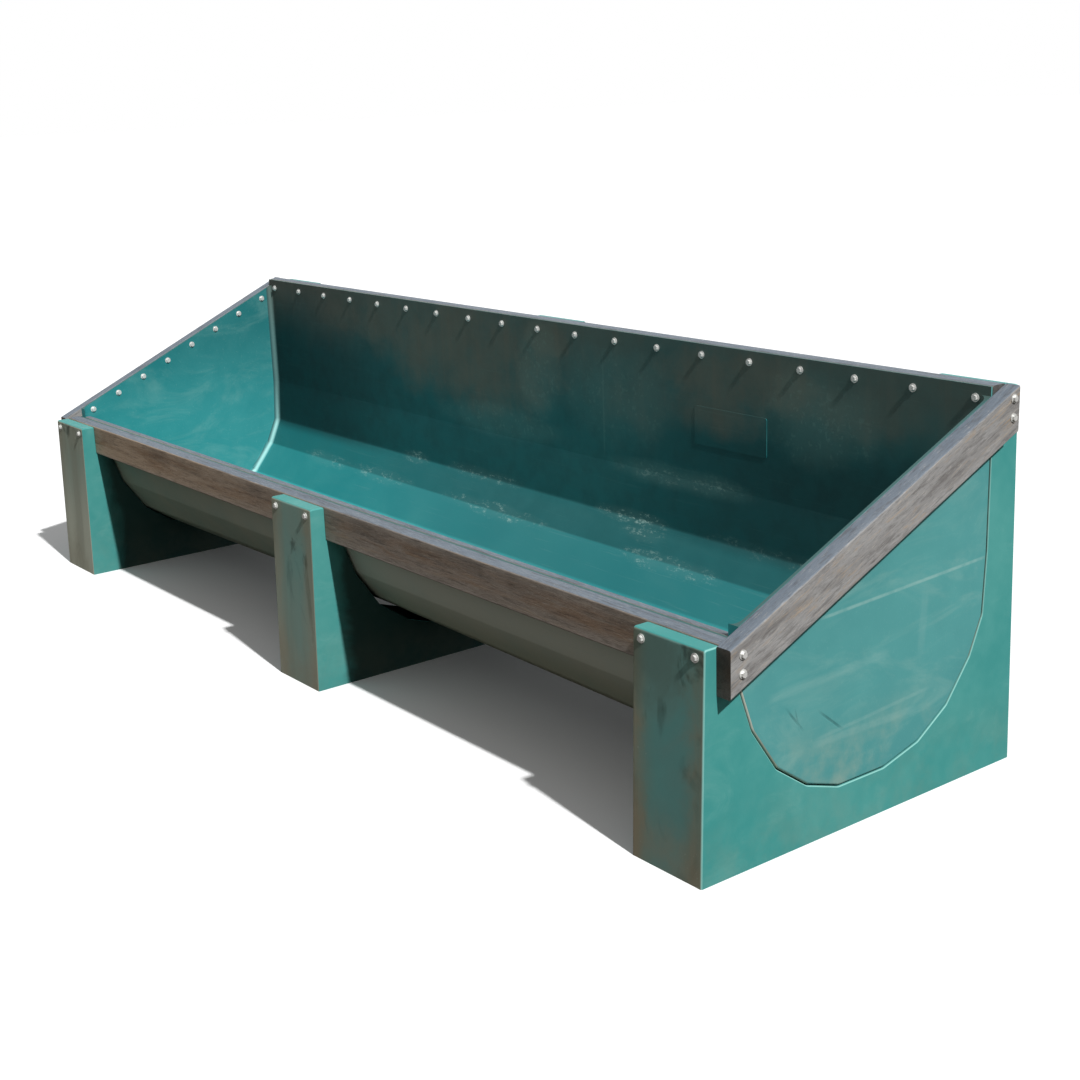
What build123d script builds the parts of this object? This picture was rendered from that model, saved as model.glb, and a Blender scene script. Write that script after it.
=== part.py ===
from build123d import *
import math
import os

# Cattle feed trough. Millimetres, +X along the trough, +Y from the feeding side to the back, +Z up.
# The origin is on the ground, under the middle of the stands' footprint.

# Boards: straight lengths of plastic lumber, all of one section
board_thickness = 38.0
board_width = 89.0
board_edge_radius = 4.0
rail_length = 3048.0
end_rail_overhang = 12.0
front_rim_height = 482.0
back_rim_height = 857.0

# Tub: one sheet. Each bend of its outer outline is (inset from the wall, height above the lowest line)
sheet = 7.0
tub_width = 740.0
tub_ground_clearance = 92.0
rim_drop = 1.5
front_wall_straight = 68.0
bend_radius = 26.0
inner_corner_radius = 20.0
outer_corner_radius = 5.0
end_back_bends = [(0.0, 408.0), (8.0, 270.0), (46.0, 186.0), (118.0, 95.0), (208.0, 37.0), (314.0, 9.0)]
end_front_bends = [(45.0, 196.0), (112.0, 99.0), (198.0, 39.0), (290.0, 9.0)]

# At mid-length the sheet lies a little higher, off the middle cradle
middle_back_bends = [(0.0, 408.0), (8.0, 270.0), (46.0, 186.0), (118.0, 95.0), (208.0, 40.0), (314.0, 16.0)]
middle_front_bends = [(47.0, 200.0), (106.0, 122.0), (198.0, 60.0), (290.0, 16.0)]

# Bare raised plate on the inside of the back wall
plate_length = 250.0
plate_height = 98.0
plate_relief = 1.5
plate_centre_x = 760.0
plate_centre_z = 650.0
plate_corner_radius = 6.0

# Thin strip inside the front rim
strip_thickness = 18.0
strip_height = 36.0
strip_edge_radius = 3.0

# Stands: hollow, open below and under the tub
stand_width = 200.0
stand_wall = 8.0
front_foot = 54.0
back_foot = 70.0
front_lean = 13.0
back_lean = 22.0
front_lip_drop = 2.0
back_lip_drop = 8.0
lip_edge_radius = 6.0
stand_edge_radius = 4.0
cradle_gap = 3.0
cradle_edge_radius = 2.5
pocket_overlap = 1.0

# Screws: hexagon head on a washer, plain shank with a pointed end
shank_radius = 3.2
shank_clearance = 0.1
tip_length = 6.0
washer_radius = 9.5
washer_thickness = 1.6
head_across_flats = 11.0
head_height = 4.6
bite = 32.0
rim_screw_pitch = 165.0
back_screw_drop = 29.0
front_screw_drop = 18.0
end_screw_count = 8
end_screw_inset = 38.0
end_screw_drop = 26.0
lip_screw_half_spacing = 75.0
front_lip_screw_drop = 20.0
back_lip_screw_drop = 37.0
front_corner_screw_drops = [14.0, 52.0]
back_corner_screw_drops = [25.0, 65.0]

# Places that follow from the sizes above
half_length = rail_length / 2
base_depth = front_foot + board_thickness + tub_width + board_thickness + back_foot
y_front = -base_depth / 2
y_back = base_depth / 2
y_front_rail = y_front + front_foot
y_tub_front = y_front_rail + board_thickness
y_tub_back = y_tub_front + tub_width
y_back_rail = y_tub_back + board_thickness
y_end_rail_front = y_front_rail - end_rail_overhang
z_front_rail = front_rim_height - board_width
z_back_rail = back_rim_height - board_width
end_slope = (back_rim_height - front_rim_height) / (y_back_rail - y_end_rail_front)
end_angle = math.atan(end_slope)
z_front_lip = front_rim_height - front_lip_drop
z_back_lip = back_rim_height - back_lip_drop
y_front_inside = y_tub_front + sheet
y_back_inside = y_tub_back - sheet
stand_centres = {
    "left": -half_length + stand_width / 2,
    "middle": 0.0,
    "right": half_length - stand_width / 2,
}
beyond = 60.0


def end_top(y):
    """Height of the end rails' top edge at a place along Y."""
    return front_rim_height + end_slope * (y - y_end_rail_front)


def front_face(z):
    """Y of the stands' leaning front face at a height."""
    return y_front + front_lean * z / z_front_lip


def back_face(z):
    """Y of the stands' leaning back face at a height."""
    return y_back - back_lean * z / z_back_lip


def prism(points, x_low, x_high):
    """Solid of a Y, Z outline between two places along X."""
    outline = Polyline([(0, y, z) for y, z in points], close=True)
    return extrude(make_face(outline), amount=x_high - x_low, dir=(1, 0, 0)).moved(Location((x_low, 0, 0)))


def block(x_range, y_range, z_range):
    """Rectangular solid between two corners."""
    size = [high - low for low, high in (x_range, y_range, z_range)]
    corner = Location((x_range[0], y_range[0], z_range[0]))
    return corner * Box(*size, align=(Align.MIN, Align.MIN, Align.MIN))


def along(solid, direction):
    """Straight edges of a solid that run in one direction."""
    wanted = Vector(direction).normalized()
    straight = solid.edges().filter_by(GeomType.LINE)
    return [e for e in straight if abs(abs((e % 0.5).dot(wanted)) - 1) < 1e-6]


# The screws
def screw(bite_length, grip):
    """Screw with its washer's face at z = 0 and its point down."""
    length = bite_length + grip
    profile = Polyline(
        (0, 0, -length),
        (shank_radius, 0, -length + tip_length),
        (shank_radius, 0, 0),
        (washer_radius, 0, 0),
        (washer_radius, 0, washer_thickness),
        (0, 0, washer_thickness),
        close=True,
    )
    body = revolve(make_face(profile), Axis.Z)
    hexagon = RegularPolygon(head_across_flats / 2, 6, major_radius=False)
    head = extrude(Plane.XY.offset(washer_thickness) * hexagon, amount=head_height)
    return body + head


def pilot(bite_length, grip):
    """Hole that a screw turns in."""
    depth = bite_length + grip + shank_clearance
    return Cylinder(shank_radius + shank_clearance, depth, align=(Align.CENTER, Align.CENTER, Align.MAX))


def driven(places, bite_length, grip):
    """Screws and their holes, at (point, direction the head faces) places."""
    frames = [Plane(origin=point, z_dir=facing) for point, facing in places]
    one_screw = screw(bite_length, grip)
    one_hole = pilot(bite_length, grip)
    screws = [one_screw.moved(frame.location) for frame in frames]
    holes = [one_hole.moved(frame.location) for frame in frames]
    return screws, holes


# Where the screws go
rim_screw_side = int((half_length - sheet - inner_corner_radius) / rim_screw_pitch)
rim_screw_xs = [rim_screw_pitch * i for i in range(-rim_screw_side, rim_screw_side + 1)]
z_back_screws = back_rim_height - back_screw_drop
z_front_screws = front_rim_height - front_screw_drop
y_tub_middle = (y_tub_front + y_tub_back) / 2
end_wall_inside = half_length - sheet
y_strip_face = y_front_inside + strip_thickness
end_screw_run = y_back_inside - y_front_inside - 2 * end_screw_inset
end_screw_pitch = end_screw_run / (end_screw_count - 1)

back_rim_places = [((x, y_back_inside, z_back_screws), (0, -1, 0)) for x in rim_screw_xs]
front_rim_places = [((x, y_strip_face, z_front_screws), (0, 1, 0)) for x in rim_screw_xs]


def end_rim_places(side):
    """Places of the screws through one end wall; side is -1 on the left and 1 on the right."""
    ys = [y_front_inside + end_screw_inset + end_screw_pitch * i for i in range(end_screw_count)]
    x = side * end_wall_inside
    return [((x, y, end_top(y) - end_screw_drop), (-side, 0, 0)) for y in ys]


def corner_places(side, y, top, drops):
    """Places of the screws through an end rail into the end grain of a long rail."""
    x = side * (half_length + board_thickness)
    return [((x, y, top - drop), (side, 0, 0)) for drop in drops]


def front_lip_places(centre):
    """Places of the two screws through a stand's front lip."""
    z = z_front_lip - front_lip_screw_drop
    facing = (0, -z_front_lip, front_lean)
    return [((centre + s * lip_screw_half_spacing, front_face(z), z), facing) for s in (-1, 1)]


def back_lip_places(centre):
    """Places of the two screws through a stand's back lip."""
    z = z_back_lip - back_lip_screw_drop
    facing = (0, z_back_lip, back_lean)
    return [((centre + s * lip_screw_half_spacing, back_face(z), z), facing) for s in (-1, 1)]


y_front_board = y_front_rail + board_thickness / 2
y_back_board = y_back_rail - board_thickness / 2
front_lip_grip = y_front_rail - front_face(z_front_lip - front_lip_screw_drop)
back_lip_grip = back_face(z_back_lip - back_lip_screw_drop) - y_back_rail

screw_rows = {
    "back_rim_screws": driven(back_rim_places, bite, sheet),
    "front_rim_screws": driven(front_rim_places, bite, sheet + strip_thickness),
    "left_rim_screws": driven(end_rim_places(-1), bite, sheet),
    "right_rim_screws": driven(end_rim_places(1), bite, sheet),
}
for side_name, side in (("left", -1), ("right", 1)):
    front_corner = corner_places(side, y_front_board, front_rim_height, front_corner_screw_drops)
    back_corner = corner_places(side, y_back_board, back_rim_height, back_corner_screw_drops)
    screw_rows[f"front_{side_name}_corner_screws"] = driven(front_corner, bite, board_thickness)
    screw_rows[f"back_{side_name}_corner_screws"] = driven(back_corner, bite, board_thickness)
for stand_name, centre in stand_centres.items():
    front_places = front_lip_places(centre)
    back_places = back_lip_places(centre)
    screw_rows[f"{stand_name}_stand_front_screws"] = driven(front_places, bite, front_lip_grip)
    screw_rows[f"{stand_name}_stand_back_screws"] = driven(back_places, bite, back_lip_grip)


def holes_of(*names):
    """All the screw holes of the named rows."""
    return [hole for name in names for hole in screw_rows[name][1]]


# The tub
def tub_outline(back_bends, front_bends):
    """Outer outline of the tub in Y and Z, from the back wall's top round to the front wall's top."""
    top = back_rim_height + beyond
    back = [(y_tub_back - inset, tub_ground_clearance + rise) for inset, rise in back_bends]
    front = [(y_tub_front + inset, tub_ground_clearance + rise) for inset, rise in reversed(front_bends)]
    front_bend = (y_tub_front, front_rim_height - front_wall_straight)
    return [(y_tub_back, top)] + back + front + [front_bend, (y_tub_front, top)]


def tub_section(outline):
    """Face of an outline, with its bends rounded."""
    points = [(0, y, z) for y, z in outline]
    radii = [0] + [bend_radius] * (len(points) - 2) + [0]
    return make_face(FilletPolyline(*points, radius=radii, close=True))


def lying(face):
    """The section turned onto the XY plane, where an offset is plain."""
    return Plane.YZ.to_local_coords(face)


def standing(face):
    """A face on the XY plane turned back to the Y, Z plane."""
    return Plane.YZ.from_local_coords(face)


end_section = tub_section(tub_outline(end_back_bends, end_front_bends))
middle_section = tub_section(tub_outline(middle_back_bends, middle_front_bends))


def resized(section, amount):
    """A section grown or shrunk by an amount."""
    return standing(offset(lying(section), amount=amount, kind=Kind.ARC)).face()


def tub_body(end_face, middle_face, half):
    """Solid that runs straight from one end face by the middle face to the other end."""
    left = end_face.moved(Location((-half, 0, 0)))
    right = end_face.moved(Location((half, 0, 0)))
    return loft([left, middle_face, right], ruled=True)


def through(face, half):
    """The face stretched along X to both sides of the middle."""
    return extrude(face, amount=half, dir=(1, 0, 0), both=True)


def below(solid, height):
    """Edges of a solid whose middle lies under a height."""
    return [e for e in solid.edges() if (e @ 0.5).Z < height]


def end_edges(solid, half):
    """Edges round the two end faces, apart from the ones on top."""
    low = below(solid, back_rim_height)
    return [e for e in low if abs(abs((e @ 0.5).X) - half) < 0.01]


outside = tub_body(end_section, middle_section, half_length)
outside = fillet(end_edges(outside, half_length), outer_corner_radius)
hollow = tub_body(resized(end_section, -sheet), resized(middle_section, -sheet), end_wall_inside)
hollow = fillet(end_edges(hollow, end_wall_inside), inner_corner_radius)
rim_top = back_rim_height + 2 * beyond
above_rim = prism(
    [
        (y_tub_front - beyond, front_rim_height - rim_drop),
        (y_front_inside, front_rim_height - rim_drop),
        (y_front_inside, end_top(y_front_inside) - rim_drop),
        (y_back_inside, end_top(y_back_inside) - rim_drop),
        (y_back_inside, back_rim_height - rim_drop),
        (y_tub_back + beyond, back_rim_height - rim_drop),
        (y_tub_back + beyond, rim_top),
        (y_tub_front - beyond, rim_top),
    ],
    -half_length - beyond,
    half_length + beyond,
)
plate_half = plate_length / 2
plate = block(
    (plate_centre_x - plate_half, plate_centre_x + plate_half),
    (y_back_inside - plate_relief, y_back_inside + sheet / 2),
    (plate_centre_z - plate_height / 2, plate_centre_z + plate_height / 2),
)
plate = fillet(along(plate, (0, 1, 0)), plate_corner_radius)
tub_holes = holes_of("back_rim_screws", "front_rim_screws", "left_rim_screws", "right_rim_screws")
tub = outside - hollow - above_rim + plate
tub = tub - tub_holes


# The boards
def long_board(y_low, z_low, holes):
    """Straight board along X, with its long edges rounded."""
    y_range = (y_low, y_low + board_thickness)
    board = block((-half_length, half_length), y_range, (z_low, z_low + board_width))
    board = fillet(along(board, (1, 0, 0)), board_edge_radius)
    return board - holes


def end_board(side, holes):
    """Sloping board over one end wall, cut plumb at both ends."""
    drop = board_width / math.cos(end_angle)
    corners = [
        (y_end_rail_front, end_top(y_end_rail_front)),
        (y_back_rail, end_top(y_back_rail)),
        (y_back_rail, end_top(y_back_rail) - drop),
        (y_end_rail_front, end_top(y_end_rail_front) - drop),
    ]
    x_low = half_length if side > 0 else -half_length - board_thickness
    board = prism(corners, x_low, x_low + board_thickness)
    board = fillet(along(board, (0, math.cos(end_angle), math.sin(end_angle))), board_edge_radius)
    return board - holes


stand_front_rows = [f"{name}_stand_front_screws" for name in stand_centres]
stand_back_rows = [f"{name}_stand_back_screws" for name in stand_centres]
front_corner_rows = ["front_left_corner_screws", "front_right_corner_screws"]
back_corner_rows = ["back_left_corner_screws", "back_right_corner_screws"]
front_holes = holes_of("front_rim_screws", *stand_front_rows, *front_corner_rows)
back_holes = holes_of("back_rim_screws", *stand_back_rows, *back_corner_rows)
left_holes = holes_of("left_rim_screws", "front_left_corner_screws", "back_left_corner_screws")
right_holes = holes_of("right_rim_screws", "front_right_corner_screws", "back_right_corner_screws")
front_rail = long_board(y_front_rail, z_front_rail, front_holes)
back_rail = long_board(y_tub_back, z_back_rail, back_holes)
left_end_rail = end_board(-1, left_holes)
right_end_rail = end_board(1, right_holes)

# The strip inside the front rim
strip_half = half_length - sheet - inner_corner_radius
strip_y = (y_front_inside, y_strip_face)
strip_z = (front_rim_height - strip_height, front_rim_height)
front_rim_strip = block((-strip_half, strip_half), strip_y, strip_z)
front_rim_strip = fillet(along(front_rim_strip, (1, 0, 0)), strip_edge_radius)
front_rim_strip = front_rim_strip - holes_of("front_rim_screws")


# The stands
def cradle_edges(shell, passage, outer_xs):
    """Edges where the tub's passage cuts a stand's two outer faces."""
    wall = passage.faces().filter_by(Axis.X, reverse=True)
    edges = []
    for edge in shell.edges():
        middle = edge @ 0.5
        if min(abs(middle.X - x) for x in outer_xs) > 0.01:
            continue
        if min(face.distance_to(middle) for face in wall) < 0.01:
            edges.append(edge)
    return edges


def stand(name):
    """Hollow stand with a lip over each long rail, open below and where the tub lies."""
    centre = stand_centres[name]
    low = centre - stand_width / 2
    high = centre + stand_width / 2
    shell = prism(
        [
            (y_front, 0),
            (front_face(z_front_lip), z_front_lip),
            (y_front_rail, z_front_lip),
            (y_front_rail, z_front_rail),
            (y_tub_middle, z_front_rail),
            (y_tub_middle, z_back_rail),
            (y_back_rail, z_back_rail),
            (y_back_rail, z_back_lip),
            (back_face(z_back_lip), z_back_lip),
            (y_back, 0),
        ],
        low,
        high,
    )
    lip_tops = [z_front_lip, z_back_lip]
    across = [e for e in along(shell, (1, 0, 0)) if min(abs((e @ 0.5).Z - z) for z in lip_tops) < 0.01]
    shell = fillet(across, lip_edge_radius)
    front_corners = along(shell, (0, front_lean, z_front_lip))
    back_corners = along(shell, (0, -back_lean, z_back_lip))
    shell = fillet(front_corners + back_corners, stand_edge_radius)
    inside = (low + stand_wall, high - stand_wall)
    cavity = prism(
        [
            (front_face(-beyond) + stand_wall, -beyond),
            (front_face(z_front_rail) + stand_wall, z_front_rail),
            (y_tub_middle, z_front_rail),
            (y_tub_middle, z_back_rail),
            (back_face(z_back_rail) - stand_wall, z_back_rail),
            (back_face(-beyond) - stand_wall, -beyond),
        ],
        *inside,
    )
    front_pocket = prism(
        [
            (front_face(z_front_rail) + stand_wall, z_front_rail - pocket_overlap),
            (front_face(z_front_lip) + stand_wall, z_front_lip - stand_wall),
            (y_front_rail - stand_wall, z_front_lip - stand_wall),
            (y_front_rail - stand_wall, z_front_rail - pocket_overlap),
        ],
        *inside,
    )
    back_pocket = prism(
        [
            (back_face(z_back_rail) - stand_wall, z_back_rail - pocket_overlap),
            (back_face(z_back_lip) - stand_wall, z_back_lip - stand_wall),
            (y_back_rail + stand_wall, z_back_lip - stand_wall),
            (y_back_rail + stand_wall, z_back_rail - pocket_overlap),
        ],
        *inside,
    )
    passage = through(resized(end_section, cradle_gap), half_length + beyond)
    shell = shell - cavity - front_pocket - back_pocket - passage
    shell = fillet(cradle_edges(shell, passage, (low, high)), cradle_edge_radius)
    return shell - holes_of(f"{name}_stand_front_screws", f"{name}_stand_back_screws")


# The parts that are written
parts = {
    "trough_tub": tub,
    "front_rail": front_rail,
    "back_rail": back_rail,
    "left_end_rail": left_end_rail,
    "right_end_rail": right_end_rail,
    "front_rim_strip": front_rim_strip,
}
for stand_name in stand_centres:
    parts[f"{stand_name}_stand"] = stand(stand_name)
for row_name, (screws, holes) in screw_rows.items():
    parts[row_name] = Compound(children=screws)

os.makedirs("parts", exist_ok=True)
for part_name, shape in parts.items():
    export_step(shape, f"parts/{part_name}.step")
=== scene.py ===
import math

import bpy
from mathutils import Matrix, Vector


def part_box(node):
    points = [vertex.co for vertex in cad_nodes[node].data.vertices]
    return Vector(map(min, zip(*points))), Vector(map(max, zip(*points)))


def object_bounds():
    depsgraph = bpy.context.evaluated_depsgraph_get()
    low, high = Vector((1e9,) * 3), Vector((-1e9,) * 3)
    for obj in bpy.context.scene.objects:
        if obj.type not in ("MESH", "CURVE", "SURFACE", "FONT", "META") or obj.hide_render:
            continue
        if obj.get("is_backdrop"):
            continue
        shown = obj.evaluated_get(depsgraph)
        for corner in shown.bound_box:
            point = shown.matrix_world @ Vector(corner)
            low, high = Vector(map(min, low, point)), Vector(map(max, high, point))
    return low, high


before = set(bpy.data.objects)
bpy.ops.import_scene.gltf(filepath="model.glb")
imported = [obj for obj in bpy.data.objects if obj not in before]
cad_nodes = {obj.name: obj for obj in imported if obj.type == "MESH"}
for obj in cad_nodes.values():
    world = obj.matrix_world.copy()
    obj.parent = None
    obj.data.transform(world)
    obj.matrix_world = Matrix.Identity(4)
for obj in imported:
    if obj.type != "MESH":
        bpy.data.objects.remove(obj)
cad_low, cad_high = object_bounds()

# The view: off the right end of the trough at standing height, looking down along it, with the
# level of the picture a little off.
camera_place = Vector((3.580, -2.398, 1.497))
camera_heading = math.radians(-52.608)
camera_down = math.radians(15.788)
camera_tilt = math.radians(-2.024)
focal_length = 54.4
sensor_width = 36
farthest_seen = 200

camera_data = bpy.data.cameras.new("view")
camera_data.lens = focal_length
camera_data.sensor_width = sensor_width
camera_data.clip_end = farthest_seen
camera = bpy.data.objects.new("view", camera_data)
bpy.context.scene.collection.objects.link(camera)
camera.matrix_world = (
    Matrix.Translation(camera_place)
    @ Matrix.Rotation(-camera_heading, 4, "Z")
    @ Matrix.Rotation(math.pi / 2 - camera_down, 4, "X")
    @ Matrix.Rotation(camera_tilt, 4, "Z")
)
bpy.context.scene.camera = camera
bpy.context.scene.view_settings.view_transform = "Standard"


# The lamp: one sun high off the right end, almost level with the trough's length, spread just
# wide enough to soften the edges of its shadows.
lamp_rays = Vector((-1.0, 0.10, -1.08))
lamp_place = (4, -1, 4)
lamp_level = 4.1
lamp_spread = math.radians(1.6)

lamp_data = bpy.data.lights.new("key_lamp", "SUN")
lamp_data.energy = lamp_level
lamp_data.angle = lamp_spread
lamp = bpy.data.objects.new("key_lamp", lamp_data)
bpy.context.scene.collection.objects.link(lamp)
lamp.rotation_euler = lamp_rays.to_track_quat("-Z", "Y").to_euler()
lamp.location = lamp_place


# The ground: a plain floor that runs out of sight. It is seen pale and takes the trough's shadow,
# but sends as little light back up as trodden earth does.
floor_reach = 60.0


class Wire:
    """An output in a shader's tree. Arithmetic on it adds Math nodes, and node() adds any other."""

    def __init__(self, socket):
        self.socket = socket

    def node(self, kind, settings=None, inputs=None, out=0):
        """A new node: its settings first, then the values or wires of its inputs."""
        tree = self.socket.id_data
        made = tree.nodes.new(kind)
        for name, value in (settings or {}).items():
            setattr(made, name, value)
        for name, value in (inputs or {}).items():
            if isinstance(value, Wire):
                tree.links.new(value.socket, made.inputs[name])
            else:
                made.inputs[name].default_value = value
        return Wire(made.outputs[out])

    def maths(self, operation, *values):
        """A Math node on the values in order."""
        return self.node("ShaderNodeMath", {"operation": operation}, dict(enumerate(values)))

    def __add__(self, other):
        return self.maths("ADD", self, other)

    def __radd__(self, other):
        return self.maths("ADD", other, self)

    def __sub__(self, other):
        return self.maths("SUBTRACT", self, other)

    def __rsub__(self, other):
        return self.maths("SUBTRACT", other, self)

    def __mul__(self, other):
        return self.maths("MULTIPLY", self, other)

    def __rmul__(self, other):
        return self.maths("MULTIPLY", other, self)

    def __truediv__(self, other):
        return self.maths("DIVIDE", self, other)

    def __rtruediv__(self, other):
        return self.maths("DIVIDE", other, self)

    def __abs__(self):
        return self.maths("ABSOLUTE", self)

    def __round__(self):
        return self.maths("ROUND", self)

    def most(self, other):
        """The greater of this and another."""
        return self.maths("MAXIMUM", self, other)

    def rise(self, low, high):
        """0 below low, 1 above high, with a soft change between them."""
        settings = {"interpolation_type": "SMOOTHSTEP"}
        return self.node("ShaderNodeMapRange", settings, {0: self, 1: low, 2: high, 3: 0.0, 4: 1.0})

    def fall(self, low, high):
        """1 below low, 0 above high, with a soft change between them."""
        return 1 - self.rise(low, high)

    def between(self, low, high, soft):
        """1 from low to high, with soft edges."""
        return self.rise(low - soft, low + soft) * self.fall(high - soft, high + soft)

    def axis(self, index):
        """The X, Y or Z of this place."""
        return self.node("ShaderNodeSeparateXYZ", None, {0: self}, out=index)

    def stretched(self, scale):
        """This place, multiplied along X, Y and Z."""
        return self.node("ShaderNodeVectorMath", {"operation": "MULTIPLY"}, {0: self, 1: scale})

    def noise(self, scale, detail=4.0, roughness=0.55, distortion=0.0):
        """Cloudy noise at this place, about 0.3 to 0.7."""
        look = {"Scale": scale, "Detail": detail, "Roughness": roughness, "Distortion": distortion}
        return self.node("ShaderNodeTexNoise", None, {"Vector": self, **look})

    def bump(self, strength):
        """A surface normal from this height in metres."""
        return self.node("ShaderNodeBump", None, {"Height": self, "Strength": strength, "Distance": 1.0})


def new_finish(name):
    """An empty material, with its shader, the place on the object and the way its surface faces."""
    material = bpy.data.materials.new(name)
    material.use_nodes = True
    tree = material.node_tree
    shader = tree.nodes["Principled BSDF"]
    place = Wire(tree.nodes.new("ShaderNodeTexCoord").outputs["Object"])
    facing = Wire(tree.nodes.new("ShaderNodeNewGeometry").outputs["True Normal"])
    return material, shader, place, facing


def feed(shader, **wires):
    """Joins wires to a shader's inputs, named with underscores for spaces."""
    for name, wire in wires.items():
        wire.socket.id_data.links.new(wire.socket, shader.inputs[name.replace("_", " ")])


def shade_of(red, green, blue):
    """A colour as it is seen, from 0 to 255, as a shader takes it."""
    seen = [value / 255 for value in (red, green, blue)]
    return [v / 12.92 if v <= 0.04045 else ((v + 0.055) / 1.055) ** 2.4 for v in seen]


def over(under, colour, share):
    """A colour laid over another by a share. Each of the two is a wire or comes from shade_of."""
    under, colour = [c if isinstance(c, Wire) else (*c, 1) for c in (under, colour)]
    return share.node("ShaderNodeMix", {"data_type": "RGBA"}, {0: share, 6: under, 7: colour}, out=2)


floor_seen = shade_of(246, 246, 246)
floor_sent = shade_of(62, 58, 50)
floor_roughness = 0.9
floor_gloss = 0.0

bpy.ops.object.select_all(action="DESELECT")
bpy.ops.mesh.primitive_plane_add(size=floor_reach * 2, location=(0, 0, 0))
floor = bpy.context.object
floor.name = "floor"
floor_finish, floor_shader = new_finish("pale_floor")[:2]
seen_by_camera = Wire(floor_finish.node_tree.nodes.new("ShaderNodeLightPath").outputs["Is Camera Ray"])
feed(floor_shader, Base_Color=over(floor_sent, floor_seen, seen_by_camera))
floor_shader.inputs["Roughness"].default_value = floor_roughness
floor_shader.inputs["Specular IOR Level"].default_value = floor_gloss
floor.data.materials.append(floor_finish)
floor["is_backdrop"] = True


# The surround: open white sky on every side. The camera, gloss and glass see it white, and it
# fills the shade with about a third of that.
surround_white = (1.0, 1.0, 1.0, 1)
shade_fill = 0.36

surround = bpy.data.worlds.new("surround")
surround.use_nodes = True
bpy.context.scene.world = surround
surround_tree = surround.node_tree
surround_shader = surround_tree.nodes["Background"]
surround_shader.inputs["Color"].default_value = surround_white
light_path = surround_tree.nodes.new("ShaderNodeLightPath")
camera_ray = Wire(light_path.outputs["Is Camera Ray"])
gloss_ray = Wire(light_path.outputs["Is Glossy Ray"])
clear_ray = Wire(light_path.outputs["Is Transmission Ray"])
surround_strength = camera_ray.most(gloss_ray).most(clear_ray).most(shade_fill)
surround_tree.links.new(surround_strength.socket, surround_shader.inputs["Strength"])


# The tub: one sheet of green polyethylene, formed hot, so it has broad flats between its bends
# and a soft bloom. Dust and feed juice brown it under the rim, and muzzles scuff the bends. It
# lies in the stands and is screwed to the boards round its rim.
tub_low, tub_high = [Vector(corner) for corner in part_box("trough_tub")]
sheet_thickness = 0.007
left_wall_x = tub_low.x + sheet_thickness
end_face = (tub_high.x - 0.005, tub_high.x - 0.001)
tub_gloss = 0.22

tub_green = shade_of(30, 130, 134)
tub_pale = shade_of(60, 150, 151)
tub_bright = shade_of(72, 190, 190)
tub_deep = shade_of(18, 60, 62)
tub_darkest = shade_of(8, 32, 34)
tub_chalk = shade_of(142, 182, 174)
tub_highlight = shade_of(170, 222, 218)
tub_dirt = shade_of(110, 101, 87)
tub_mud = shade_of(166, 168, 148)
tub_dust = shade_of(216, 218, 208)
scuff_white = shade_of(172, 200, 192)
rim_painted_shade = shade_of(60, 76, 72)
corner_painted_shade = shade_of(70, 72, 66)


def dress(node_name, material):
    """Gives a CAD node its finish."""
    node = cad_nodes[node_name]
    node.data.materials.clear()
    node.data.materials.append(material)


tub_finish, tub_shader, place, facing = new_finish("formed_green_sheet")
x, y, z = [place.axis(index) for index in range(3)]
cloud = place.noise(1.6, 3.0).rise(0.35, 0.65)
mottle = place.noise(14.0, 5.0, 0.6).rise(0.35, 0.7)
wipes = place.stretched((1.0, 1.0, 2.6)).noise(4.0, 6.0, 0.65, 0.8).rise(0.45, 0.72)
colour = over(tub_green, tub_pale, cloud * 0.5 + mottle * 0.2)

# the two end walls: wiped pale outside in long cloudy strokes, and darker under the rim inside
under_rim = (0.40, 0.72)
faces_along = abs(facing.axis(0)).rise(0.6, 0.9)
end_wall = faces_along * abs(x).rise(*end_face)
inner_end = faces_along * abs(x).fall(*end_face)
colour = over(colour, tub_chalk, wipes * 0.04 + end_wall * (0.24 + wipes * 0.20))
colour = over(colour, tub_deep, inner_end * (0.14 + z.rise(*under_rim) * 0.34) + end_wall * 0.08)
colour = over(colour, tub_chalk, inner_end * wipes * 0.16)

# painted shade inside the back, darker on steeper flats, less on each flat further down and to the left
back_half = (tub_high.y - 0.30, tub_high.y - 0.20)
left_part = x.fall(-0.9, 0.1)
both_ends = x.rise(0.5, 1.2) + x.fall(-1.0, -0.4)
foot_of_wall = z.rise(0.46, 0.52) * z.fall(0.50, 0.72)
inside = (0 - facing.axis(1)).rise(0.1, 0.2) * y.rise(*back_half)
steepness = facing.axis(2).fall(0.15, 1.0)
painted_slope_shade = inside * (steepness * 0.82 + foot_of_wall * both_ends * 0.12) * (0.88 + mottle * 0.12)
painted_slope_shade = painted_slope_shade * (1 - left_part * facing.axis(2).rise(0.2, 0.7) * 0.7)
colour = over(colour, tub_deep, painted_slope_shade)

# painted highlight in pale on the rounded corner that runs up between the left end and the back
corner_start = left_wall_x - 0.0005
corner_middle = left_wall_x + 0.006
corner_finish = left_wall_x + 0.018
corner = x.rise(corner_start, corner_middle) * x.fall(corner_middle, corner_finish)
corner = corner * y.rise(-0.15, 0.1) * facing.axis(0).rise(0.1, 0.3)
colour = over(colour, tub_highlight, corner * 0.85)

# the bottom is palest near the left end
bottom = facing.axis(2).rise(0.72, 0.82) * z.fall(0.32, 0.36)
colour = over(colour, tub_bright, bottom * left_part * 0.28)

# the high back wall is darkest at its left end, with painted shade low on the right
wall_face = (tub_high.y - 0.03, tub_high.y - 0.012)
back_wall = inside * y.rise(*wall_face)
dark_left = x.fall(-1.20, -0.60)
painted_shade_low_right = z.fall(0.58, 0.76) * x.rise(0.1, 1.0)
colour = over(colour, tub_darkest, back_wall * (dark_left * 0.70).most(painted_shade_low_right * 0.50))

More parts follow.
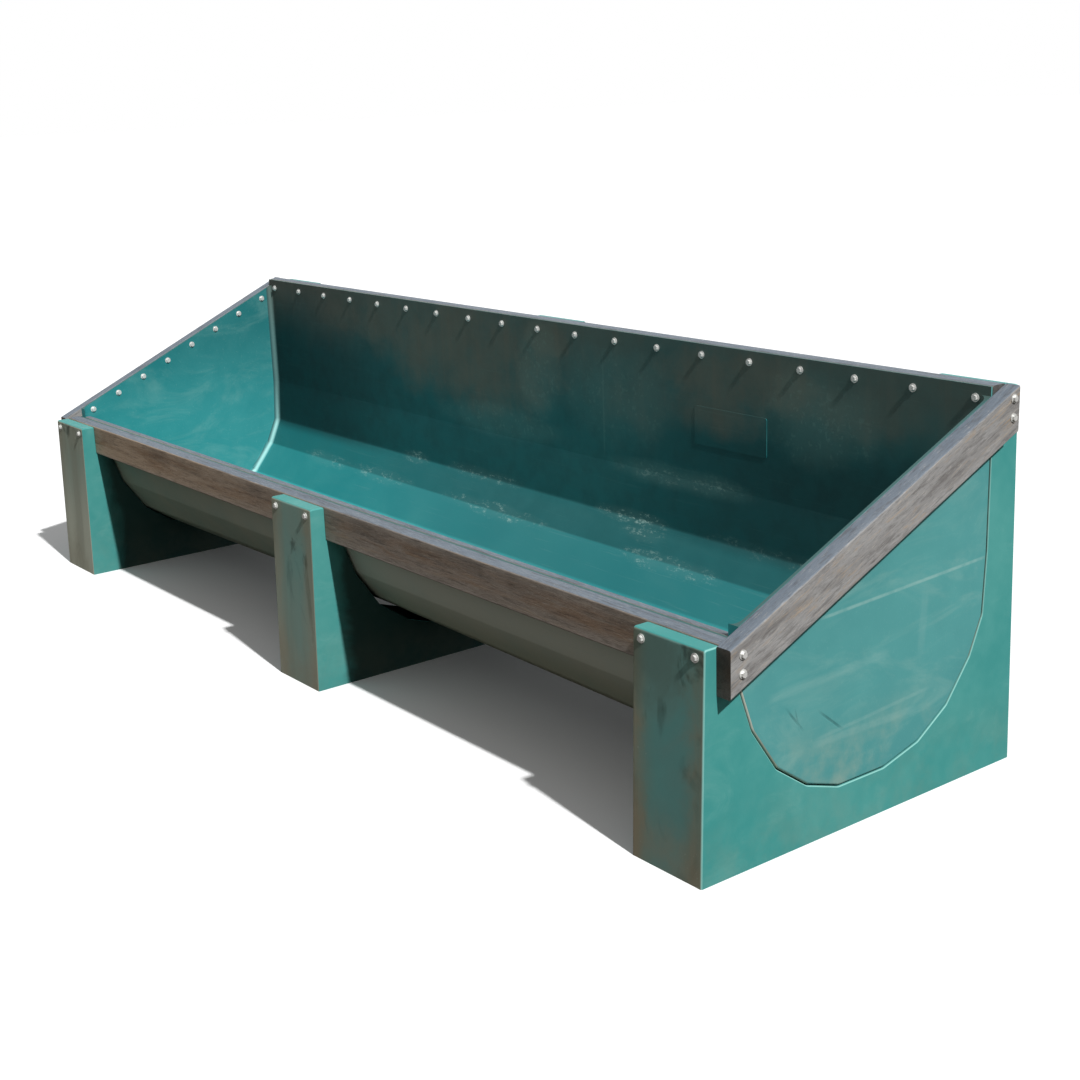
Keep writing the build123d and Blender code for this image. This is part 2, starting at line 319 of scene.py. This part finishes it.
# dust and feed juice on it, thick under the rim and run down in patches, which are listed by
# middle X, middle Z, half width, half height and strength
ragged = place.noise(6.0, 5.0, 0.65) - 0.5
brown_patches = [
    (-0.84, 0.80, 0.36, 0.09, 0.70),
    (-0.36, 0.76, 0.44, 0.16, 0.85),
    (0.02, 0.81, 0.16, 0.06, 0.85),
    (0.44, 0.76, 0.20, 0.14, 0.40),
    (0.80, 0.78, 0.32, 0.09, 0.85),
    (0.70, 0.70, 0.20, 0.06, 0.65),
    (1.20, 0.79, 0.34, 0.09, 0.60),
]


def splotch(middle_x, middle_z, half_x, half_z, strength):
    """Its strength in the middle of a ragged patch on the back wall, falling to 0 at its edge."""
    away_x = (x - middle_x) / half_x
    away_z = (z - middle_z) / half_z
    return (away_x * away_x + away_z * away_z + ragged * 3.0).fall(-0.2, 2.0) * strength


def strongest(shares):
    """The strongest of several shares at each place."""
    result = shares[0]
    for share in shares[1:]:
        result = result.most(share)
    return result


unevenness = place.stretched((1.0, 1.0, 0.45)).noise(2.3, 5.0, 0.6, 0.4) - 0.5
high_up = (z + unevenness * 0.35).rise(0.62, 0.88) * 0.6
drips = place.stretched((26.0, 1.0, 1.3)).noise(1.0, 4.0, 0.6).rise(0.48, 0.70)
brown = strongest([high_up] + [splotch(*patch) for patch in brown_patches])
colour = over(colour, tub_dirt, back_wall * brown * (0.68 + drips * 0.12))

# paler dried splashes on the same wall, and one faint upright line that a board left
dried_splashes = [
    (0.0, 0.71, 0.09, 0.12, 0.30),
    (0.34, 0.68, 0.20, 0.12, 0.26),
    (1.04, 0.72, 0.16, 0.10, 0.34),
    (-0.20, 0.54, 0.26, 0.04, 0.30),
    (0.56, 0.50, 0.24, 0.03, 0.30),
]
haze = strongest([splotch(*splash) for splash in dried_splashes])
dots = place.noise(75.0, 3.0, 0.6).rise(0.56, 0.66)
upright_line = x.between(0.276, 0.281, 0.003) * z.between(0.523, 0.781, 0.02)
colour = over(colour, tub_chalk, back_wall * (haze * (0.34 + dots * 0.26) + upright_line * 0.07))

# the sheet's underside and front are splashed with earth, palest near the front board
front_part = (tub_low.y + 0.34, tub_low.y + 0.40)
outside = (0 - facing.axis(1)).rise(0.15, 0.55) * y.fall(*front_part) * z.fall(0.40, 0.44)
splash = place.noise(3.0, 6.0, 0.65).rise(0.30, 0.62)
colour = over(colour, tub_mud, outside * (splash * 0.22 + 0.62 + x.rise(-0.6, 1.0) * 0.12))
colour = over(colour, tub_dust, outside * z.rise(0.20, 0.34) * x.rise(-1.3, 0.6) * 0.55)

# white scuffs on the bends where muzzles rub, in groups of fine broken specks, listed by middle X,
# middle Z, half width, half height and strength
scuff_height = 0.018
scuff_groups = [
    (-0.63, 0.366, 0.065, scuff_height, 0.9),
    (-0.28, 0.368, 0.156, scuff_height, 0.9),
    (0.41, 0.366, 0.130, scuff_height, 1.0),
    (0.46, 0.335, 0.078, scuff_height, 0.9),
    (-1.14, 0.284, 0.130, scuff_height, 0.6),
    (-0.79, 0.284, 0.156, scuff_height, 0.6),
    (-0.18, 0.284, 0.195, scuff_height, 0.9),
    (0.57, 0.280, 0.156, scuff_height, 1.0),
    (0.95, 0.366, 0.260, scuff_height, 0.3),
    (0.57, 0.497, 0.208, scuff_height, 0.4),
]
rubbed = strongest([splotch(*group) for group in scuff_groups])
specks = place.stretched((0.45, 1.0, 1.0)).noise(95.0, 6.0, 0.80).rise(0.51, 0.62)
specks = specks * place.stretched((1.0, 1.0, 2.4)).noise(17.0, 3.0, 0.6).rise(0.42, 0.56)
colour = over(colour, scuff_white, inside * rubbed * (0.07 + specks * 0.60))

# straight rubs and short gouges on the right end, listed by the Y and Z of their two ends, half
# width and strength
right_end = facing.axis(0).rise(0.6, 0.9) * x.rise(1.0, 1.3)
rubs = [
    (-0.14, 0.47, 0.35, 0.49, 0.005, 0.34),
    (-0.16, 0.21, 0.14, 0.205, 0.012, 0.12),
    (-0.15, 0.22, 0.18, 0.24, 0.006, 0.12),
    (-0.28, 0.34, 0.05, 0.35, 0.014, 0.08),
    (0.155, 0.33, 0.165, 0.45, 0.016, 0.08),
]
gouges = [
    (-0.237, 0.300, -0.201, 0.257, 0.004, 1.0),
    (-0.215, 0.290, -0.208, 0.262, 0.003, 1.0),
    (-0.141, 0.270, -0.088, 0.227, 0.004, 1.0),
]


def stroke(y_start, z_start, y_end, z_end, half_width, strength):
    """Its strength along a straight line on an end wall, with soft sides and ends."""
    run = math.hypot(y_end - y_start, z_end - z_start)
    run_y = (y_end - y_start) / run
    run_z = (z_end - z_start) / run
    ahead = (y - y_start) * run_y + (z - z_start) * run_z
    aside = abs((y - y_start) * run_z - (z - z_start) * run_y)
    return aside.fall(half_width * 0.3, half_width) * ahead.between(0, run, 0.02) * strength


broken = place.noise(22.0, 4.0, 0.7).rise(0.30, 0.60)
rub = right_end * strongest([stroke(*line) for line in rubs])
gouge = right_end * strongest([stroke(*line) for line in gouges])
colour = over(colour, scuff_white, rub * (0.45 + broken * 0.55))
colour = over(colour, tub_deep, gouge * broken * 0.40)

# earth thrown up low on the right end, and fine scratches all over
foot_brown = right_end * z.fall(0.12, 0.30) * place.noise(7.0, 5.0, 0.6).rise(0.40, 0.70)
colour = over(colour, tub_mud, foot_brown * 0.45)
scratches = place.stretched((2.0, 60.0, 60.0)).noise(2.0, 4.0, 0.7).rise(0.60, 0.66)
colour = over(colour, tub_chalk, scratches * (0.09 - inside * steepness * 0.07))

# painted shade on the sheet's cut edge along the rim, and on the steps at the two front corners
rim_edge = facing.axis(2).rise(0.80, 0.88) * z.rise(0.460, 0.475)
front_step = (tub_low.y - 0.017, tub_low.y + 0.008)
front_corner = abs(x).rise(1.500, 1.512) * y.fall(*front_step) * z.rise(0.472, 0.478)
colour = over(colour, rim_painted_shade, rim_edge * 0.80)
colour = over(colour, corner_painted_shade, front_corner * 0.85)

roughness = 0.42 + mottle * 0.1 + back_wall * 0.15 + outside * 0.2 + rubbed * 0.2
waves = place.noise(5.0, 2.0) * 0.0010
pores = place.noise(160.0, 3.0) * 0.00006
height = waves + pores - scratches * 0.00006 - gouge * 0.0010
feed(tub_shader, Base_Color=colour, Roughness=roughness, Normal=height.bump(0.6))
tub_shader.inputs["Specular IOR Level"].default_value = tub_gloss
dress("trough_tub", tub_finish)


# The stands: three hollow boxes moulded in the same green, screwed through their lips to the long
# boards. Hooves and mud brown their front faces in upright streaks, and the sides show the clean
# colour with rubbed, cloudy marks.
stand_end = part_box("right_stand")[1][0]
stand_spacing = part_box("right_stand")[1][0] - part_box("middle_stand")[1][0]
stand_gloss = 0.22

stand_green = shade_of(60, 140, 136)
stand_pale = shade_of(86, 156, 150)
stand_wiped = shade_of(124, 176, 168)
stand_rubbed_highlight = shade_of(146, 200, 192)
stand_teal = shade_of(110, 166, 164)
stand_olive = shade_of(112, 134, 124)
stand_stain = shade_of(120, 132, 116)
stand_mud = shade_of(150, 138, 116)
stand_dust = shade_of(190, 194, 178)
stand_run = shade_of(96, 98, 82)
stand_soot = shade_of(66, 68, 58)
stand_dark = shade_of(46, 56, 50)
stand_painted_shade = shade_of(40, 44, 40)
chip_pale = shade_of(170, 186, 172)

stand_finish, stand_shader, place, facing = new_finish("moulded_green_stand")
x, y, z = [place.axis(index) for index in range(3)]
front = (0 - facing.axis(1)).rise(0.7, 0.95)
faces_along = abs(facing.axis(0))
cloud = place.noise(2.4, 4.0, 0.6, 0.3).rise(0.35, 0.68)
grain = place.noise(30.0, 4.0, 0.6).rise(0.35, 0.7)
wipes = place.stretched((1.0, 1.0, 1.8)).noise(5.0, 6.0, 0.68, 1.0).rise(0.50, 0.74)
colour = over(stand_green, stand_pale, cloud * 0.6 + grain * 0.15)
colour = over(colour, stand_wiped, wipes * 0.22)

# front faces: a film of olive dirt, with mud near the upright edges, at the top and at the foot
streaks = place.stretched((12.0, 12.0, 0.9)).noise(1.0, 5.0, 0.6, 0.2).rise(0.40, 0.66)
blots = place.stretched((2.4, 2.4, 1.2)).noise(2.0, 5.0, 0.65, 0.6).rise(0.36, 0.64)
across = x - round(x / stand_spacing) * stand_spacing
edges = abs(across + (blots - 0.5) * 0.03).rise(0.030, 0.095)
band = z + (blots - 0.5) * 0.10
colour = over(colour, stand_olive, front * (0.30 + blots * 0.40))
colour = over(colour, stand_mud, front * edges * (0.40 + streaks * 0.40))
colour = over(colour, stand_stain, front * band.rise(0.26, 0.44) * 0.50)
colour = over(colour, stand_mud, front * band.fall(0.05, 0.14) * 0.50)

# the further left a stand is, the dustier and the more streaked its front, and the right one is
# teal in the middle and dark at the top
dustier = x.fall(-1.6, 1.3)
low_dust = z.fall(0.12, 0.42)
dark_top = band.rise(0.30, 0.46) * x.rise(0.7, 1.2)
colour = over(colour, stand_mud, front * streaks * dustier * 0.40)
colour = over(colour, stand_dust, front * dustier * (0.46 + low_dust * 0.55))
colour = over(colour, stand_teal, front * (1 - dustier) * (1 - edges) * 0.42)
colour = over(colour, stand_run, front * streaks * dustier * 0.32)
colour = over(colour, stand_soot, front * dark_top * blots * 0.35)

# dark smears, most of them high up, and small pale chips
smears = place.stretched((1.6, 1.6, 0.7)).noise(5.0, 4.0, 0.6, 1.6).rise(0.56, 0.70)
chips = place.noise(120.0, 3.0, 0.6).rise(0.66, 0.72) * place.noise(6.0, 2.0).rise(0.50, 0.62)
colour = over(colour, stand_dark, front * smears * (0.25 + band.rise(0.20, 0.42) * 0.45))
colour = over(colour, chip_pale, front * chips * 0.5)

# painted shade blackens the sides under the tub, and the outer edges are rubbed pale with a painted
# highlight
outer_panel = (stand_end - 0.009, stand_end - 0.002)
edge_round = (stand_end - 0.0045, stand_end - 0.0015)
inner_side = faces_along.rise(0.6, 0.9) * abs(x).fall(*outer_panel)
behind_front = (y + (blots - 0.5) * 0.03).rise(-0.400, -0.350)
outer_edge = abs(x).rise(*edge_round) * faces_along.fall(0.90, 0.985)
colour = over(colour, stand_painted_shade, inner_side * behind_front * 0.80)
# rubbed pale outer edges, with a painted highlight where the rounded edges catch the light
colour = over(colour, stand_rubbed_highlight, outer_edge * 0.65)

# dust thrown up round the feet
foot_dust = z.fall(0.0, 0.22) * place.noise(9.0, 5.0, 0.65).rise(0.36, 0.66)
colour = over(colour, stand_mud, foot_dust * (0.12 + front * 0.22))

roughness = 0.42 + grain * 0.12 + front * 0.2
height = place.noise(5.0, 2.0) * 0.0010 + place.noise(190.0, 3.0) * 0.00007
feed(stand_shader, Base_Color=colour, Roughness=roughness, Normal=height.bump(0.6))
stand_shader.inputs["Specular IOR Level"].default_value = stand_gloss
for stand_name in ("left_stand", "middle_stand", "right_stand"):
    dress(stand_name, stand_finish)


# The rim boards: plastic lumber pressed from recycled scrap, with a fibrous skin drawn out along
# the board. The long ones lie between the sloping end ones, and a thin strip of the same lumber
# lines the front. Sun bleaches the tops grey, with a painted sky reflection in lilac over them, and
# the faces out of the sun stay brown.
rail_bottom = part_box("front_rail")[0][2]
end_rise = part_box("back_rail")[1][2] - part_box("front_rail")[1][2]
end_low, end_high = [Vector(corner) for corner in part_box("right_end_rail")]
end_slope = math.atan2(end_rise, end_high.y - end_low.y)
board_gloss = 0.2

board_grey = shade_of(148, 147, 146)
board_bleach_and_sky_lilac = shade_of(97, 112, 127)
board_tan = shade_of(160, 140, 116)
board_sand = shade_of(196, 170, 142)
board_brown = shade_of(160, 143, 126)
board_rust = shade_of(128, 96, 66)
board_worn = shade_of(168, 156, 150)
board_fibre = shade_of(196, 190, 178)
board_dark = shade_of(66, 60, 56)
board_black = shade_of(34, 30, 28)


def board_finish(name, slope):
    """Plastic lumber whose grain runs along X, or up the end wall's slope in the Y, Z plane."""
    material, shader, place, facing = new_finish(name)
    x = place.axis(0)
    z = place.axis(2)
    if slope is None:
        grain_way = place.stretched((1.0, 8.0, 8.0))
        end_grain = abs(facing.axis(0)).rise(0.8, 0.95)
    else:
        about_x = {"rotation_type": "X_AXIS"}
        turned = place.node("ShaderNodeVectorRotate", about_x, {"Vector": place, "Angle": -slope})
        grain_way = turned.stretched((8.0, 1.0, 8.0))
        end_grain = abs(facing.axis(1)).rise(0.8, 0.95)
    up = facing.axis(2).rise(0.4, 0.8)
    front = (0 - facing.axis(1)).rise(0.5, 0.9)

    # grain: broad bands, streaks and single fibres, in weathered grey with flecks of tan
    broad = grain_way.noise(3.0, 5.0, 0.66, 0.4)
    streaks = grain_way.stretched((1.0, 1.4, 1.4)).noise(9.0, 6.0, 0.74, 0.3)
    fibres = grain_way.noise(44.0, 5.0, 0.82)
    patches = place.noise(5.0, 4.0, 0.6).rise(0.35, 0.7)
    colour = over(board_dark, board_grey, broad.rise(0.32, 0.64))
    colour = over(colour, board_grey, 0.45 + patches * 0.2)
    colour = over(colour, board_tan, streaks.rise(0.52, 0.66) * (1 - up) * 0.55)

    # tops bleached, with a painted sky reflection in lilac, and the front face brown, sandier to the
    # left, with rust and damp stains
    rust = z.between(rail_bottom + 0.022, rail_bottom + 0.069, 0.012) * broad.rise(0.40, 0.62)
    damp = z.between(rail_bottom + 0.047, rail_bottom + 0.083, 0.006) * patches
    worn_bottom = z.fall(rail_bottom + 0.001, rail_bottom + 0.011)
    colour = over(colour, board_bleach_and_sky_lilac, up * 0.72)
    colour = over(colour, board_brown, front * 0.55)
    colour = over(colour, board_sand, front * x.fall(-1.2, 0.4) * 0.62)
    colour = over(colour, board_rust, front * rust * 0.60)
    colour = over(colour, board_black, front * damp * 0.40)
    colour = over(colour, board_worn, front * worn_bottom * 0.55)

    # the fine grain over all of it, and the sawn ends almost black
    colour = over(colour, board_dark, streaks.fall(0.36, 0.50) * 0.42)
    colour = over(colour, board_dark, fibres.rise(0.52, 0.68) * 0.42)
    colour = over(colour, board_fibre, fibres.fall(0.32, 0.46) * 0.34)
    colour = over(colour, board_black, end_grain * (0.62 + patches * 0.25))
    roughness = 0.62 + fibres * 0.2
    height = broad * 0.0012 + streaks * 0.0012 + fibres * 0.0008
    feed(shader, Base_Color=colour, Roughness=roughness, Normal=height.bump(0.8))
    shader.inputs["Specular IOR Level"].default_value = board_gloss
    return material


long_finish = board_finish("lumber_along_x", None)
end_finish = board_finish("lumber_up_the_slope", end_slope)
for board_name in ("front_rail", "back_rail", "front_rim_strip"):
    dress(board_name, long_finish)
for board_name in ("left_end_rail", "right_end_rail"):
    dress(board_name, end_finish)


# The screws: zinc-plated, with a hexagon head pressed on a washer. They're driven from inside
# the tub into the boards, and through the stands' lips and the end boards from outside.
zinc_bright = shade_of(232, 232, 228)
zinc_dull = shade_of(188, 188, 186)
zinc_metal = 0.4

screw_finish, screw_shader, place = new_finish("zinc_screw")[:3]
tarnish = place.noise(90.0, 4.0, 0.6).rise(0.35, 0.7)
feed(screw_shader, Base_Color=over(zinc_bright, zinc_dull, tarnish), Roughness=0.34 + tarnish * 0.2)
screw_shader.inputs["Metallic"].default_value = zinc_metal
for node_name in cad_nodes:
    if node_name.endswith("_screws"):
        dress(node_name, screw_finish)


# The size of what shows, beside the size of the CAD model
shown_low, shown_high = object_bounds()
boxes = {"cad": [list(cad_low), list(cad_high)], "visual": [list(shown_low), list(shown_high)]}
